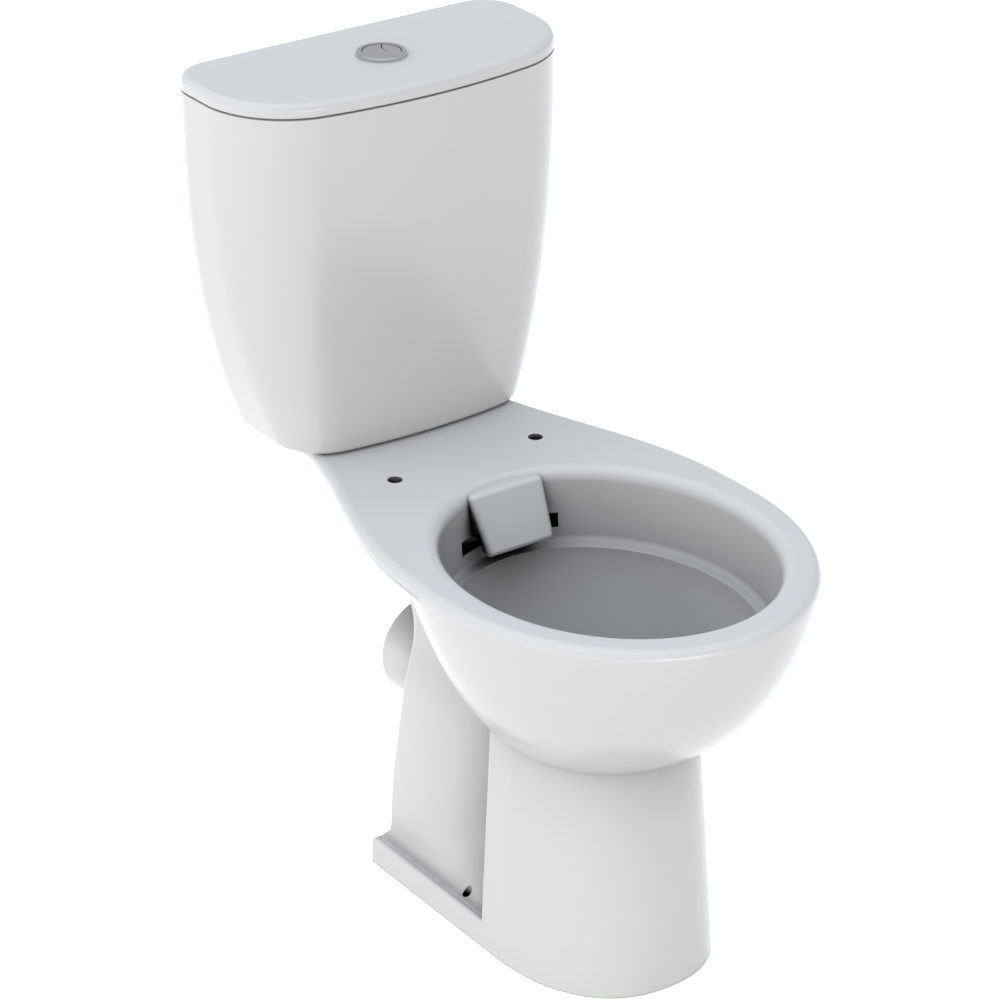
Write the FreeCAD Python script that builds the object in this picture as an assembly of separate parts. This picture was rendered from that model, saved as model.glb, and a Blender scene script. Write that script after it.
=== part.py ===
import FreeCAD, Part
import math
import os

# Close coupled toilet: a rimless washdown pan, a cistern bolted to its deck, and the flush and
# fill valves inside the cistern. Millimetres. +Z is up, -Y is the front, +Y is the wall.
# The origin is on the floor, under the middle of the overall depth.

V = FreeCAD.Vector
UP = V(0, 0, 1)

# ---- overall ----
overall_width = 356.0
overall_depth = 628.0
wall_y = overall_depth / 2
front_y = -overall_depth / 2
joint_gap = 0.3
drill_length = 80.0


def from_front(share):
    """The y of a place that is this share of the overall depth behind the front of the rim."""
    return front_y + share * overall_depth


# ---- pan: rim and deck ----
pan_height = 400.0
rim_inset = 1.0
rim_half_width = overall_width / 2 - rim_inset
rim_nose_y = from_front(0.339)
rim_nose_depth = rim_nose_y - front_y
rim_slab = 9.0
rim_edge_radius = 8.0
deck_wall_gap = 28.0
deck_back_y = wall_y - deck_wall_gap
deck_corner_radius = 50.0
# How much each side has drawn in, and how far back that is, as a share of the side's length.
deck_sides = [(5.0, 0.26), (14.0, 0.385), (26.5, 0.505), (41.5, 0.63), (57.0, 0.76), (68.5, 0.87)]
deck_end_inset = 77.0
shelf_thickness = 16.0
shelf_inset = 3.0

# ---- pan: bowl ----
bowl_back_y = from_front(0.613)
bowl_bottom_z = 192.1
bowl_nose_shift = 2.4
bowl_side_powers = (1.07, 2.70)
bowl_front_powers = (1.84, 1.77)
bowl_back_powers = (0.50, 6.48)
bowl_levels = 9
bowl_blunt_end = 0.96
rim_width = 36.0
mouth_half_width = rim_half_width - rim_width
mouth_front_y = front_y + rim_width - 1.0
mouth_back_y = from_front(0.58)
mouth_y = (mouth_front_y + mouth_back_y) / 2
mouth_half_depth = (mouth_back_y - mouth_front_y) / 2
mouth_edge_radius = 12.0
upper_wall_taper = 5.0
ledge_drop = 68.0
ledge_width = 8.0
ledge_fall = 5.0
ledge_radius = 7.0
bowl_wall = 13.0
inner_bowl_levels = 8
inner_bowl_power = 1.7
inner_back_power = 1.3
sump_top_z = 205.0
sump_half_width = 40.0
sump_half_depth = 44.0
sump_y = from_front(0.357)
sump_lip_radius = 18.0
sump_foot_radius = 20.0

# ---- pan: trapway and outlet ----
trap_radius = 33.0
trap_wall = 8.0
trap_dip_z = 112.0
trap_dip_y = from_front(0.433)
trap_apex_y = from_front(0.574)
trap_apex_z = 279.0
trap_drop_y = from_front(0.651)
trap_bend_radius = 42.0
outlet_z = 180.0
outlet_radius = 51.0
outlet_bore_radius = 43.0
outlet_collar = 4.0
outlet_collar_depth = 1.0
outlet_depth = 40.0
outlet_end_y = from_front(0.771)

# ---- pan: pedestal ----
column_floor_half_width = 100.0
column_draft = 0.05
column_front_draft = 0.08
column_back_y = from_front(0.409)
column_nose_y = from_front(0.373)
column_nose_depth = 0.212 * overall_depth
column_nose_power = 2.3
column_top_z = 262.0
column_wall = 12.0
column_corner_radius = 5.0
leg_back_y = from_front(0.685)
leg_front_y = from_front(0.346)
leg_waist_y = from_front(0.428)
leg_shoulder_y = from_front(0.573)
leg_corner_radius = 9.0
leg_hollow_foot_z = 40.0
leg_hollow_rise = 20.0
foot_height = 27.0
foot_stand_out = 2.0
foot_edge_radius = 4.5
floor_hole_radius = 4.5
floor_hole_x = 86.0
floor_hole_y = from_front(0.469)
floor_hole_depth = 80.0
floor_boss_radius = 13.0

# ---- pan: flush inlet and distributor ----
valve_wall_gap = 80.0
valve_y = wall_y - valve_wall_gap
gasket_recess_radius = 46.0
gasket_recess_depth = 14.0
inlet_throat_radius = 32.0
inlet_boss_radius = 54.0
inlet_boss_depth = 34.0
channel_half_width = 24.0
channel_top_z = 376.0
channel_height = 26.0
channel_wall = 11.0
block_top_half_width = 41.0
block_foot_half_width = 36.0
block_top_z = pan_height - 3.5
block_crown_radius = 5.0
block_top_y = mouth_back_y - 10.0
block_foot_y = block_top_y - 27.0
block_foot_z = 345.0
block_wall = 7.0
chamber_setback = 15.0
chamber_height = 21.0
block_radius = 6.0
block_foot_radius = 3.5
side_outlet_height = 13.0
side_outlet_depth = 19.0
side_outlet_reach = 12.0
side_outlet_groove = 4.0

# ---- seat fixing holes ----
seat_hole_spacing = 155.0
seat_hole_y = from_front(0.666)
seat_hole_radius = 7.0
deck_hole_depth = 60.0

# ---- cistern ----
cistern_gap = 2.0
tank_base_z = pan_height + cistern_gap
tank_top_z = 735.0
tank_top_half_width = overall_width / 2
tank_waist = 50.0
tank_waist_power = 2.6
tank_depth = 163.0
tank_front_y = wall_y - tank_depth
tank_front_lean = 16.0
tank_bow_radius = 620.0
tank_front_radius = 85.0
tank_front_tighter = 35.0
tank_back_radius = 38.0
tank_wall = 9.0
tank_floor = 14.0
tank_levels = 9
tank_foot_radius = 5.0
valve_hole_radius = 29.5
fill_side_gap = 27.0
fill_wall_gap = 29.0
fill_x = tank_top_half_width - tank_waist - fill_side_gap
fill_y = wall_y - fill_wall_gap
fill_hole_radius = 11.5
wall_hole_x = 110.0
wall_hole_drop = 45.0
wall_hole_z = tank_top_z - wall_hole_drop
wall_hole_radius = 4.0

# ---- lid ----
lid_seam = 2.2
lid_thickness = 12.0
lid_edge_radius = 6.5
lid_ring_inset = 4.0
lid_lip_clearance = 2.5
lid_lip_width = 5.0
lid_lip_depth = 9.0
lid_under_z = tank_top_z + lid_seam
lid_top_z = lid_under_z + lid_thickness
button_hole_radius = 20.5

# ---- coupling bolts ----
bolt_edge_gap = 22.0
bolt_x = rim_half_width - deck_end_inset - bolt_edge_gap
bolt_radius = 4.0
bolt_hole_radius = 5.5
bolt_head_radius = 9.0
bolt_head_height = 5.0
bolt_tail = 7.0
rubber_washer = 3.0
rubber_washer_radius = 11.0
plate_washer = 1.6
plate_washer_radius = 12.0
wing_nut_height = 7.0
wing_nut_radius = 7.5
wing_span = 15.0
wing_thickness = 3.0

# ---- gasket ----
gasket_clearance = 0.5
gasket_bore_radius = 28.5

# ---- flush valve: its heights hang from the top of the tank ----
lever_drop = 123.0
lever_z = tank_top_z - lever_drop
cage_plate_z = lever_z - 50.0
spigot_radius = 28.0
spigot_bore_radius = 23.5
spigot_drop = 22.0
valve_flange_radius = 42.0
valve_flange = 4.0
valve_washer = 3.0
backnut_radius = 37.0
backnut_height = 11.0
seat_lip_height = 3.0
seat_lip_width = 3.0
seal_radius = 34.0
seal_thickness = 3.0
tube_radius = 14.0
tube_bore_radius = 11.5
tube_top_z = lever_z - 22.0
disc_radius = 30.0
disc_thickness = 3.0
valve_float_radius = 31.0
valve_float_bottom_z = cage_plate_z - 82.0
valve_float_height = 46.0
cage_post_width = 7.0
cage_posts = 4
cage_foot_height = 9.0
cage_rim_width = 5.0
cage_plate = 5.0
cage_guide_clearance = 0.6

# ---- flush levers ----
lever_pivot_x = 30.0
lever_tip_x = 51.0
lever_inner_x = 6.0
lever_thickness = 5.0
lever_width = 8.0
lever_boss_radius = 5.0
lever_toe_length = 6.0
pin_radius = 2.0
pin_clearance = 0.05
ear_thickness = 4.0
ear_gap = 0.5
ear_width = 10.0
rail_offset = 10.0
rail_width = 3.0
rail_height = 4.0
yoke_half_length = 12.0
yoke_grip = 12.0
link_radius = 3.0
link_foot_z = lever_z - 92.0
link_foot_height = 18.0
link_foot_radius = 5.5
link_wall = 2.5
toe_widening = 2.0
stirrup_height = 4.0
stirrup_drop = 4.0

# ---- push buttons ----
rod_x = 10.0
rod_radius = 2.0
bezel_radius = 23.3
bezel_height = 3.6
bezel_bore_radius = 18.2
barrel_radius = 19.8
barrel_drop = 15.0
barrel_floor = 2.0
stem_hole_radius = 3.2
lid_nut_radius = 27.0
lid_nut_height = 8.0
button_clearance = 0.4
button_thickness = 10.0
button_inset = 0.4
button_split_x = 24.0
button_split_radius = 20.0
button_split_gap = 0.7
spring_radius = 4.6
spring_wire_radius = 0.6
spring_turns = 5

# ---- fill valve ----
shank_radius = 10.3
tail_radius = 10.0
tail_neck = 1.5
tail_length = 44.0
tail_bore_radius = 5.0
fill_washer = 2.5
fill_flange_radius = 15.0
fill_flange = 3.0
fill_nut_height = 8.0
fill_nut_flats = 30.0
stem_radius = 11.0
stem_top_z = tank_top_z - 95.0
head_radius = 16.0
head_height = 22.0
cap_radius = 17.5
cap_height = 8.0
float_width = 46.0
float_depth = 36.0
float_height = 70.0
float_bottom_z = stem_top_z - 140.0
float_gap = 6.0
float_wall = 2.0
float_corner_radius = 7.0
float_ring_clearance = 0.4
float_ring_width = 3.0
float_ring_height = 14.0
stop_collar_height = 3.0
stop_collar_width = 3.0
adjuster_radius = 2.2
adjuster_setback = 12.0
float_lever_width = 9.0
float_lever_thickness = 4.0
float_lever_angle = 11.0
float_lever_reach = 4.0
float_pin_radius = 1.6
float_ear_thickness = 3.0
float_ear_height = 10.0
float_pivot_gap = 5.0


# ---------------------------------------------------------------- small helpers
def cylinder(radius, height, x, y, z, direction=UP):
    return Part.makeCylinder(radius, height, V(x, y, z), direction)


def ring(outer, inner, height, x, y, z):
    return cylinder(outer, height, x, y, z).cut(cylinder(inner, height, x, y, z))


def block(x0, x1, y0, y1, z0, z1):
    return Part.makeBox(x1 - x0, y1 - y0, z1 - z0, V(x0, y0, z0))


def hexagon(flats, height, x, y, z):
    corner = flats / math.sqrt(3)
    points = [V(x + corner * math.cos(math.radians(60 * k)), y + corner * math.sin(math.radians(60 * k)), z)
              for k in range(7)]
    return Part.Face(Part.makePolygon(points)).extrude(V(0, 0, height))


def smooth(points, start=None, end=None):
    """A smooth curve through the points, with end directions where they are given."""
    curve = Part.BSplineCurve()
    if start is None:
        curve.interpolate(Points=points)
    else:
        curve.interpolate(Points=points, InitialTangent=start, FinalTangent=end)
    return curve.toShape()


def line(a, b):
    return Part.LineSegment(a, b).toShape()


def corner(a, through, b):
    return Part.Arc(a, through, b).toShape()


def join(shapes):
    """All the shapes as one solid, with the seams between them cleaned away."""
    return shapes[0].fuse(shapes[1:]).removeSplitter()


def edges_at(shape, z, tolerance=0.01):
    """The edges that lie in the level z."""
    return [e for e in shape.Edges
            if abs(e.BoundBox.ZMin - z) < tolerance and abs(e.BoundBox.ZMax - z) < tolerance]


def half_oval(half_x, depth, centre_y, z, side):
    """Half of an ellipse in plan, in front of its centre (side -1) or behind it (side 1)."""
    arc = corner(V(1, 0, 0), V(0, side, 0), V(-1, 0, 0))
    stretch = FreeCAD.Matrix()
    stretch.A11 = half_x
    stretch.A22 = depth
    stretch.A24 = centre_y
    stretch.A34 = z
    return arc.transformGeometry(stretch)


def oval(half_x, front, back, centre_y, z):
    """A closed oval whose front half may be deeper or shallower than its back half."""
    return Part.Wire([half_oval(half_x, front, centre_y, z, -1), half_oval(half_x, back, centre_y, z, 1)])


def loft(wires, ruled=False):
    return Part.makeLoft(wires, True, ruled)


def powers(share, pair):
    """A bulging taper from 1 at share 0 to 0 at share 1."""
    return (1 - share ** pair[0]) ** (1 / pair[1])


# ---------------------------------------------------------------- pan outside
def deck_outline(z, inset=0.0):
    """Rim and deck in plan: a half ellipse in front, sides that draw in towards the wall."""
    half = rim_half_width - inset
    back = deck_back_y - inset
    radius = deck_corner_radius
    end = half - deck_end_inset
    length = back - radius - rim_nose_y
    nose = half_oval(half, rim_nose_depth - inset, rim_nose_y, z, -1)
    sides = []
    for sign in (1, -1):
        points = [V(sign * half, rim_nose_y, z)]
        points += [V(sign * (half - drawn), rim_nose_y + share * length, z) for drawn, share in deck_sides]
        points.append(V(sign * end, back - radius, z))
        sides.append(smooth(points, V(0, 1, 0), V(-0.02 * sign, 1, 0)))
    cut = radius * (1 - math.sqrt(0.5))
    right = corner(V(end, back - radius, z), V(end - cut, back - cut, z), V(end - radius, back, z))
    left = corner(V(-end, back - radius, z), V(-end + cut, back - cut, z), V(-end + radius, back, z))
    rear = line(V(end - radius, back, z), V(-end + radius, back, z))
    return Part.Wire(Part.__sortEdges__([nose.Edges[0], sides[0], right, rear, left, sides[1]]))


def rim_and_deck():
    slab = Part.Face(deck_outline(pan_height - rim_slab)).extrude(V(0, 0, rim_slab))
    slab = slab.makeFillet(rim_edge_radius, edges_at(slab, pan_height))
    shelf_z = pan_height - shelf_thickness
    shelf = Part.Face(deck_outline(shelf_z, shelf_inset)).extrude(V(0, 0, shelf_thickness - rim_slab + 1))
    half = rim_half_width
    keep = block(-half, half, rim_nose_y, wall_y, shelf_z - 1, pan_height)
    return [slab, shelf.common(keep)]


def bowl_reach(z):
    """Half width, front depth, back depth and centre of the bowl's outside at height z."""
    top = pan_height - rim_slab
    share = min(max((top - z) / (top - bowl_bottom_z), 0.0), 1.0)
    side = powers(share, bowl_side_powers)
    front = powers(share, bowl_front_powers)
    centre = rim_nose_y + bowl_nose_shift * share
    back = powers(share, bowl_back_powers)
    return rim_half_width * side, rim_nose_depth * front, (bowl_back_y - rim_nose_y) * back, centre


def bowl_outside():
    top = pan_height - rim_slab
    sections = []
    for k in range(bowl_levels):
        share = bowl_blunt_end * math.sin(math.pi / 2 * k / (bowl_levels - 1))
        z = top - (top - bowl_bottom_z) * share
        half, front, back, centre = bowl_reach(z)
        sections.append(oval(half, front, back, centre, z))
    return loft(sections)


def column_section(z, inset=0.0):
    """Plan of the pedestal's front column: straight sides and a full round nose."""
    half = column_floor_half_width - column_draft * z - inset
    depth = column_nose_depth - column_front_draft * z - inset
    points = []
    steps = 14
    for k in range(steps + 1):
        angle = math.pi * k / steps
        c = math.cos(angle)
        s = math.sin(angle)
        n = column_nose_power
        reach = (abs(c / half) ** n + abs(s / depth) ** n) ** (-1 / n)
        points.append(V(reach * c, column_nose_y - reach * s, z))
    nose = smooth(points, V(0, -1, 0), V(0, 1, 0))
    back = column_back_y - inset
    radius = column_corner_radius
    cut = radius * (1 - math.sqrt(0.5))
    right = line(V(half, back - radius, z), V(half, column_nose_y, z))
    left = line(V(-half, column_nose_y, z), V(-half, back - radius, z))
    left_turn = corner(V(-half, back - radius, z), V(-half + cut, back - cut, z), V(-half + radius, back, z))
    rear = line(V(-half + radius, back, z), V(half - radius, back, z))
    right_turn = corner(V(half - radius, back, z), V(half - cut, back - cut, z), V(half, back - radius, z))
    return Part.Wire([right, nose, left, left_turn, rear, right_turn])


def column(inset=0.0, bottom=0.0, top=column_top_z):
    return loft([column_section(bottom, inset), column_section(top, inset)], True)


# Height, half width at the waist, half width at the back, and how far the back stands out.
leg_levels = [
    (foot_height - 1.0, 95.5, 95.5, 0.0),
    (foot_height + 1.5, 90.5, 90.5, 0.0),
    (foot_height + 4.0, 86.0, 86.0, 0.0),
    (foot_height + 9.0, 81.5, 83.8, 0.0),
    (foot_height + 16.0, 75.0, 83.0, 0.0),
    (52.0, 67.0, 83.0, 0.0),
    (64.0, 58.5, 82.3, 0.0),
    (90.0, 50.0, 80.0, 0.0),
    (125.0, 46.0, 75.5, 0.0),
    (160.0, 43.5, 70.0, 0.0),
    (190.0, 43.0, 64.5, 0.0),
    (220.0, 43.0, 57.0, 0.0),
    (250.0, 44.0, 55.5, 0.0),
    (280.0, 47.0, 59.0, 5.0),
    (320.0, 56.0, 60.0, 16.0),
    (360.0, 64.0, 56.0, 36.0),
    (392.0, 66.0, 52.0, 62.0),
]
# How far the leg's sides have widened from the waist, and where.
leg_widening = [(leg_waist_y, 0.0), ((leg_waist_y + leg_shoulder_y) / 2, 0.58), (leg_shoulder_y, 0.97)]


def leg_section(z, waist, back_half, stand_out, inset):
    """Plan of the rear leg: a waist behind the column, flaring to rounded back corners."""
    radius = leg_corner_radius
    rear_y = leg_back_y + stand_out - inset
    front = leg_front_y + inset
    waist -= inset
    back_half -= inset
    sides = []
    for sign in (1, -1):
        points = [V(sign * waist, front, z)]
        points += [V(sign * (waist + widened * (back_half - waist)), y, z) for y, widened in leg_widening]
        points.append(V(sign * back_half, rear_y - radius, z))
        sides.append(smooth(points))
    cut = radius * (1 - math.sqrt(0.5))
    right = corner(V(back_half, rear_y - radius, z), V(back_half - cut, rear_y - cut, z),
                   V(back_half - radius, rear_y, z))
    left = corner(V(-back_half, rear_y - radius, z), V(-back_half + cut, rear_y - cut, z),
                  V(-back_half + radius, rear_y, z))
    rear = line(V(back_half - radius, rear_y, z), V(-back_half + radius, rear_y, z))
    face = line(V(-waist, front, z), V(waist, front, z))
    return Part.Wire(Part.__sortEdges__([face, sides[0], right, rear, left, sides[1]]))


def leg(levels, inset=0.0):
    return loft([leg_section(z, waist, back, out, inset) for z, waist, back, out in levels])


def leg_hollow():
    """The inside of the leg. Its lowest part goes straight down into the foot."""
    rows = [row for row in leg_levels if leg_hollow_foot_z < row[0] < outlet_z + leg_hollow_rise]
    start = (foot_height - column_wall - 1.0,) + rows[0][1:]
    return leg([start] + rows, column_wall)


def foot():
    """The flange along the floor, in line with the column's sides."""
    def plan(z):
        half = column_floor_half_width - column_draft * z
        back = leg_back_y + foot_stand_out
        corners = [V(half, column_nose_y, z), V(half, back, z), V(-half, back, z), V(-half, column_nose_y, z)]
        return Part.makePolygon(corners + corners[:1])
    body = loft([plan(0), plan(foot_height)], True)
    outer = [e for e in edges_at(body, foot_height) if e.BoundBox.YMax > column_back_y]
    return body.makeFillet(foot_edge_radius, outer)


def trap_path():
    """Centre line of the trapway: dip, rise to the weir, drop to the outlet."""
    corners = [V(0, sump_y, trap_dip_z), V(0, trap_dip_y, trap_dip_z), V(0, trap_apex_y, trap_apex_z),
               V(0, trap_drop_y, outlet_z), V(0, outlet_end_y, outlet_z)]
    edges = []
    start = corners[0]
    for k in range(1, len(corners) - 1):
        into = (corners[k] - corners[k - 1]).normalize()
        away = (corners[k + 1] - corners[k]).normalize()
        turn = into.getAngle(away)
        reach = trap_bend_radius * math.tan(turn / 2)
        a = corners[k] - into * reach
        b = corners[k] + away * reach
        inner = (away - into).normalize()
        mid = corners[k] + inner * (trap_bend_radius * (1 / math.cos(turn / 2) - 1))
        edges.append(line(start, a))
        edges.append(corner(a, mid, b))
        start = b
    edges.append(line(start, corners[-1]))
    return Part.Wire(edges)


def trapway(radius):
    path = trap_path()
    circle = Part.Wire(Part.Circle(V(0, sump_y, trap_dip_z), V(0, 1, 0), radius).toShape())
    return path.makePipeShell([circle], True, True)


def mouth_section(z, shrink, centre_y):
    return oval(mouth_half_width - shrink, mouth_half_depth - shrink, mouth_half_depth - shrink, centre_y, z)


def inner_bowl_section(share, wall):
    """Plan of the lower bowl, from the flow ledge (share 0) down to the sump (share 1)."""
    shrink = upper_wall_taper + ledge_width
    low_z = pan_height - ledge_drop - ledge_fall
    opening = 1 - share ** inner_bowl_power
    half = sump_half_width + (mouth_half_width - shrink - sump_half_width) * opening
    sump_front = sump_y - sump_half_depth
    sump_back = sump_y + sump_half_depth
    front = sump_front + (mouth_y - mouth_half_depth + shrink - sump_front) * opening
    back = sump_back + (mouth_y + mouth_half_depth - shrink - sump_back) * opening ** inner_back_power
    middle = mouth_y + (sump_y - mouth_y) * share
    return oval(half + wall, middle - front + wall, back - middle + wall, middle, low_z - (low_z - sump_top_z) * share)


def bowl_inside(wall=0.0):
    """The water space: upper wall, flow ledge, lower bowl and sump. A wall makes it thicker."""
    ledge_z = pan_height - ledge_drop
    bottom_z = trap_dip_z - trap_radius - wall
    upper = loft([mouth_section(pan_height + 1, -wall, mouth_y),
                  mouth_section(ledge_z, upper_wall_taper - wall, mouth_y)], True)
    last = inner_bowl_levels - 1
    bowl = loft([inner_bowl_section(k / last, wall) for k in range(inner_bowl_levels)])
    sump = Part.Face(inner_bowl_section(1.0, wall)).extrude(V(0, 0, bottom_z - sump_top_z))
    lower = bowl.fuse(sump)
    lower = lower.makeFillet(sump_lip_radius, edges_at(lower, sump_top_z))
    lower = lower.makeFillet(sump_foot_radius, edges_at(lower, bottom_z))
    ledge = loft([mouth_section(ledge_z, upper_wall_taper - wall, mouth_y), inner_bowl_section(0.0, wall)], True)
    upper = join([upper, ledge])
    upper = upper.makeFillet(ledge_radius, edges_at(upper, ledge_z))
    return [upper, lower]


def distributor_block():
    """The block under the back of the rim that turns the flush water to both sides."""
    back = mouth_back_y + bowl_wall
    top = block_top_z

    def plan(z, half, front):
        r = block_radius
        cut = r * (1 - math.sqrt(0.5))
        edges = [line(V(-half, back, z), V(half, back, z)),
                 line(V(half, back, z), V(half, front + r, z)),
                 corner(V(half, front + r, z), V(half - cut, front + cut, z), V(half - r, front, z)),
                 line(V(half - r, front, z), V(-half + r, front, z)),
                 corner(V(-half + r, front, z), V(-half + cut, front + cut, z), V(-half, front + r, z)),
                 line(V(-half, front + r, z), V(-half, back, z))]
        return Part.Wire(edges)
    solid = loft([plan(block_foot_z, block_foot_half_width, block_foot_y), plan(top, block_top_half_width, block_top_y)],
                 True)
    solid = solid.makeFillet(block_foot_radius, edges_at(solid, block_foot_z))
    return solid.makeFillet(block_crown_radius, edges_at(solid, top))


def flush_passages():
    """Gasket recess, throat, channel to the front, and the chamber with its two side outlets."""
    recess = cylinder(gasket_recess_radius, gasket_recess_depth + 1, 0, valve_y, pan_height - gasket_recess_depth)
    low = channel_top_z - channel_height
    throat = cylinder(inlet_throat_radius, pan_height - low - 1, 0, valve_y, low)
    chamber_front = block_foot_y + chamber_setback
    half = channel_half_width
    channel = block(-half, half, block_top_y + 2, valve_y, low, channel_top_z)
    chamber_half = block_foot_half_width - block_wall
    wall_inside = mouth_back_y - upper_wall_taper
    chamber = block(-chamber_half, chamber_half, chamber_front, wall_inside, block_foot_z - 1,
                    block_foot_z + chamber_height)
    reach = block_top_half_width + side_outlet_reach
    outlets = block(-reach, reach, wall_inside - side_outlet_depth, wall_inside + side_outlet_groove, block_foot_z - 1,
                    block_foot_z + side_outlet_height)
    return [recess, throat, channel, chamber, outlets]


def inlet_underside():
    """The boss round the flush inlet and the covered channel under the deck."""
    top = pan_height - rim_slab + 1
    boss_z = pan_height - inlet_boss_depth
    boss_reach = inlet_boss_radius + 1
    boss = cylinder(inlet_boss_radius, top - boss_z, 0, valve_y, boss_z)
    low = channel_top_z - channel_height - channel_wall
    half = channel_half_width + channel_wall
    throat = cylinder(inlet_throat_radius + channel_wall, top - low, 0, valve_y, low)
    duct = block(-half, half, block_top_y, valve_y, low, top)
    behind = block(-boss_reach, boss_reach, deck_back_y - shelf_inset, wall_y, low - 1, top + 1)
    return [boss.cut(behind), throat, duct]


def pan():
    outside = join(rim_and_deck() + [bowl_outside(), column(), leg(leg_levels), foot()] + inlet_underside())
    outside = outside.fuse(cylinder(outlet_radius, outlet_end_y - trap_drop_y, 0, trap_drop_y, outlet_z, V(0, 1, 0)))
    collar_end_y = leg_back_y + outlet_collar_depth
    outside = outside.fuse(
        cylinder(outlet_radius + outlet_collar, collar_end_y - trap_drop_y, 0, trap_drop_y, outlet_z, V(0, 1, 0)))
    trap_solid = trapway(trap_radius + trap_wall)
    lining = join(bowl_inside(bowl_wall))
    under_foot = block(-column_floor_half_width + column_wall, column_floor_half_width - column_wall,
                       column_back_y - column_wall - 1, leg_back_y - column_wall, 0, foot_height - column_wall)
    hollow = join([column(column_wall, 0.0, bowl_bottom_z - bowl_wall), leg_hollow(), under_foot])
    bosses = [cylinder(floor_boss_radius, floor_hole_depth, side * floor_hole_x, floor_hole_y, 0) for side in (-1, 1)]
    hollow = hollow.cut([trap_solid, lining, bowl_outside()] + bosses)
    body = outside.fuse(trap_solid).cut(hollow)
    upper, lower = bowl_inside()
    body = body.cut(upper)
    mouth = [e for e in edges_at(body, pan_height) if e.BoundBox.YMax < mouth_back_y + 1
             and e.BoundBox.XLength > mouth_half_width and e.BoundBox.YMin > front_y + rim_width / 2]
    body = body.makeFillet(mouth_edge_radius, mouth).cut(lower)
    body = body.fuse(distributor_block())
    body = body.cut(join(flush_passages()))
    body = body.cut(trapway(trap_radius))
    body = body.cut(cylinder(outlet_bore_radius, outlet_depth + 1, 0, outlet_end_y - outlet_depth, outlet_z, V(0, 1, 0)))
    holes = []
    for side in (-1, 1):
        low = pan_height - deck_hole_depth
        holes.append(cylinder(seat_hole_radius, deck_hole_depth + 1, side * seat_hole_spacing / 2, seat_hole_y, low))
        holes.append(cylinder(bolt_hole_radius, deck_hole_depth + 1, side * bolt_x, valve_y, low))
        holes.append(cylinder(floor_hole_radius, floor_hole_depth, side * floor_hole_x, floor_hole_y, -1))
    body = body.cut(holes)
    return body.removeSplitter()


# ---------------------------------------------------------------- cistern
def tank_section(z, inset=0.0, level=None):
    """Plan of the cistern: a shallow bowed front, round front corners and tighter back corners."""
    share = (tank_top_z - (z if level is None else level)) / (tank_top_z - tank_base_z)
    bulge = max(share, 0.0) ** tank_waist_power
    half = tank_top_half_width - tank_waist * bulge - inset
    front = tank_front_y + tank_front_lean * bulge + inset
    bow = tank_bow_radius - inset
    round_front = tank_front_radius - tank_front_tighter * bulge - inset
    round_back = max(tank_back_radius - inset, tank_back_radius / 3)
    back = wall_y - inset
    bow_y = front + bow
    cx = half - round_front
    cy = bow_y - math.sqrt((bow - round_front) ** 2 - cx ** 2)
    stretch = bow / (bow - round_front)
    touch_x = cx * stretch
    touch_y = bow_y - (bow_y - cy) * stretch
    lean = (math.pi / 2 + math.atan2(bow_y - touch_y, touch_x)) / 2 - math.pi / 4
    turn = V(cx + round_front * math.cos(lean), cy - round_front * math.sin(lean), z)
    cut = round_back * (1 - math.sqrt(0.5))

    def mirrored(point):
        return V(-point.x, point.y, z)
    right_touch = V(touch_x, touch_y, z)
    right_side = V(half, cy, z)
    right_turn = V(half, back - round_back, z)
    right_cut = V(half - cut, back - cut, z)
    right_rear = V(half - round_back, back, z)
    edges = [corner(mirrored(right_touch), V(0, front, z), right_touch),
             corner(right_touch, turn, right_side),
             line(right_side, right_turn),
             corner(right_turn, right_cut, right_rear),
             line(right_rear, mirrored(right_rear)),
             corner(mirrored(right_rear), mirrored(right_cut), mirrored(right_turn)),
             line(mirrored(right_turn), mirrored(right_side)),
             corner(mirrored(right_side), mirrored(turn), mirrored(right_touch))]
    return Part.Wire(edges)


def tank_body(bottom, top, inset=0.0):
    sections = []
    for k in range(tank_levels):
        z = bottom + (top - bottom) * k / (tank_levels - 1)
        sections.append(tank_section(z, inset))
    return loft(sections)


def cistern_tank():
    outer = tank_body(tank_base_z, tank_top_z)
    outer = outer.makeFillet(tank_foot_radius, edges_at(outer, tank_base_z))
    inner = tank_body(tank_base_z + tank_floor, tank_top_z, tank_wall)
    body = outer.cut(inner)
    cuts = [cylinder(valve_hole_radius, tank_floor + 2, 0, valve_y, tank_base_z - 1),
            cylinder(fill_hole_radius, tank_floor + 2, fill_x, fill_y, tank_base_z - 1)]
    for side in (-1, 1):
        cuts.append(cylinder(bolt_hole_radius, tank_floor + 2, side * bolt_x, valve_y, tank_base_z - 1))
        cuts.append(cylinder(wall_hole_radius, tank_wall + 2, side * wall_hole_x, wall_y - tank_wall - 1, wall_hole_z,
                             V(0, 1, 0)))
    return body.cut(cuts)


def cistern_lid():
    """A flat lid with a rounded edge, a ring that rests on the tank and a lip that locates it."""
    plate = Part.Face(tank_section(lid_under_z, 0.0, tank_top_z)).extrude(V(0, 0, lid_thickness))
    plate = plate.makeFillet(lid_edge_radius, edges_at(plate, lid_top_z))
    rest = Part.Face(tank_section(tank_top_z, lid_ring_inset)).extrude(V(0, 0, lid_seam + 1))
    inside = tank_wall + lid_lip_clearance
    lip = Part.Face(tank_section(tank_top_z - lid_lip_depth, inside, tank_top_z)).extrude(V(0, 0, lid_lip_depth + 1))
    gap = inside + lid_lip_width
    hollow = Part.Face(tank_section(tank_top_z - lid_lip_depth - 1, gap, tank_top_z))
    hollow = hollow.extrude(V(0, 0, lid_lip_depth + 1 + lid_seam))
    body = join([plate, rest, lip]).cut(hollow)
    return body.cut(cylinder(button_hole_radius, 40.0, 0, valve_y, tank_top_z - 10))


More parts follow.
